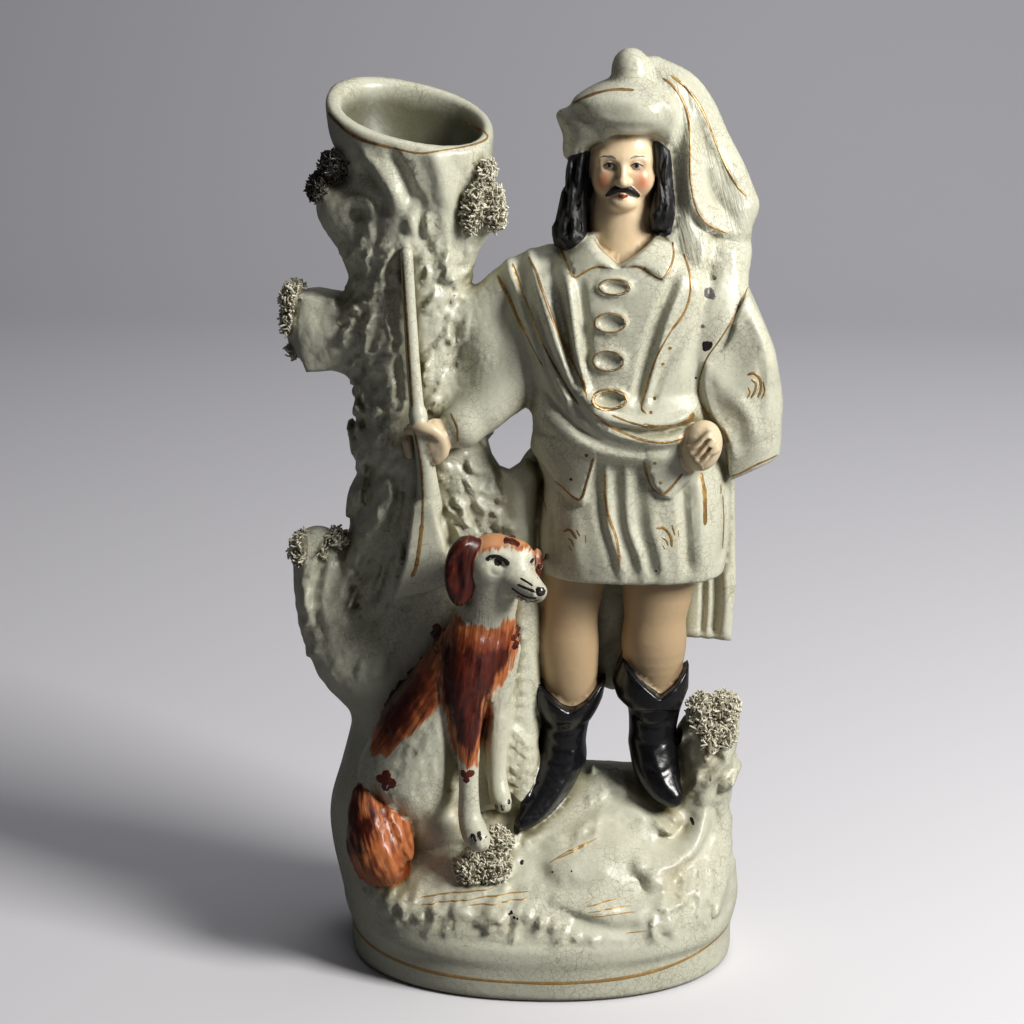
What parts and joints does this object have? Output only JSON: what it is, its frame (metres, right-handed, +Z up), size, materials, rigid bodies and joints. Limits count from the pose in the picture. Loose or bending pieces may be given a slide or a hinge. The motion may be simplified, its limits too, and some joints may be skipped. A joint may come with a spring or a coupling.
{
  "type": "figural spill vase",
  "caption": "Glazed earthenware spill vase: a standing hunter in plumed cap and plaid leans a gun on a hollow tree trunk, a spotted hound seated at his feet, on an oval foot.",
  "frame": {"origin": "centre of the oval foot's flat underside", "axes": "+Z up along the figure, -Y towards the modelled front, +X to the figure's cape side"},
  "size_m": [0.2042, 0.124, 0.38],
  "materials": {
    "glazed_earthenware": "glossy crackled cream lead glaze with painted black, flesh and rust enamels and worn gilt lines"
  },
  "bodies": {
    "root": {"spill_vase": "glazed_earthenware"}
  },
  "joints": []
}
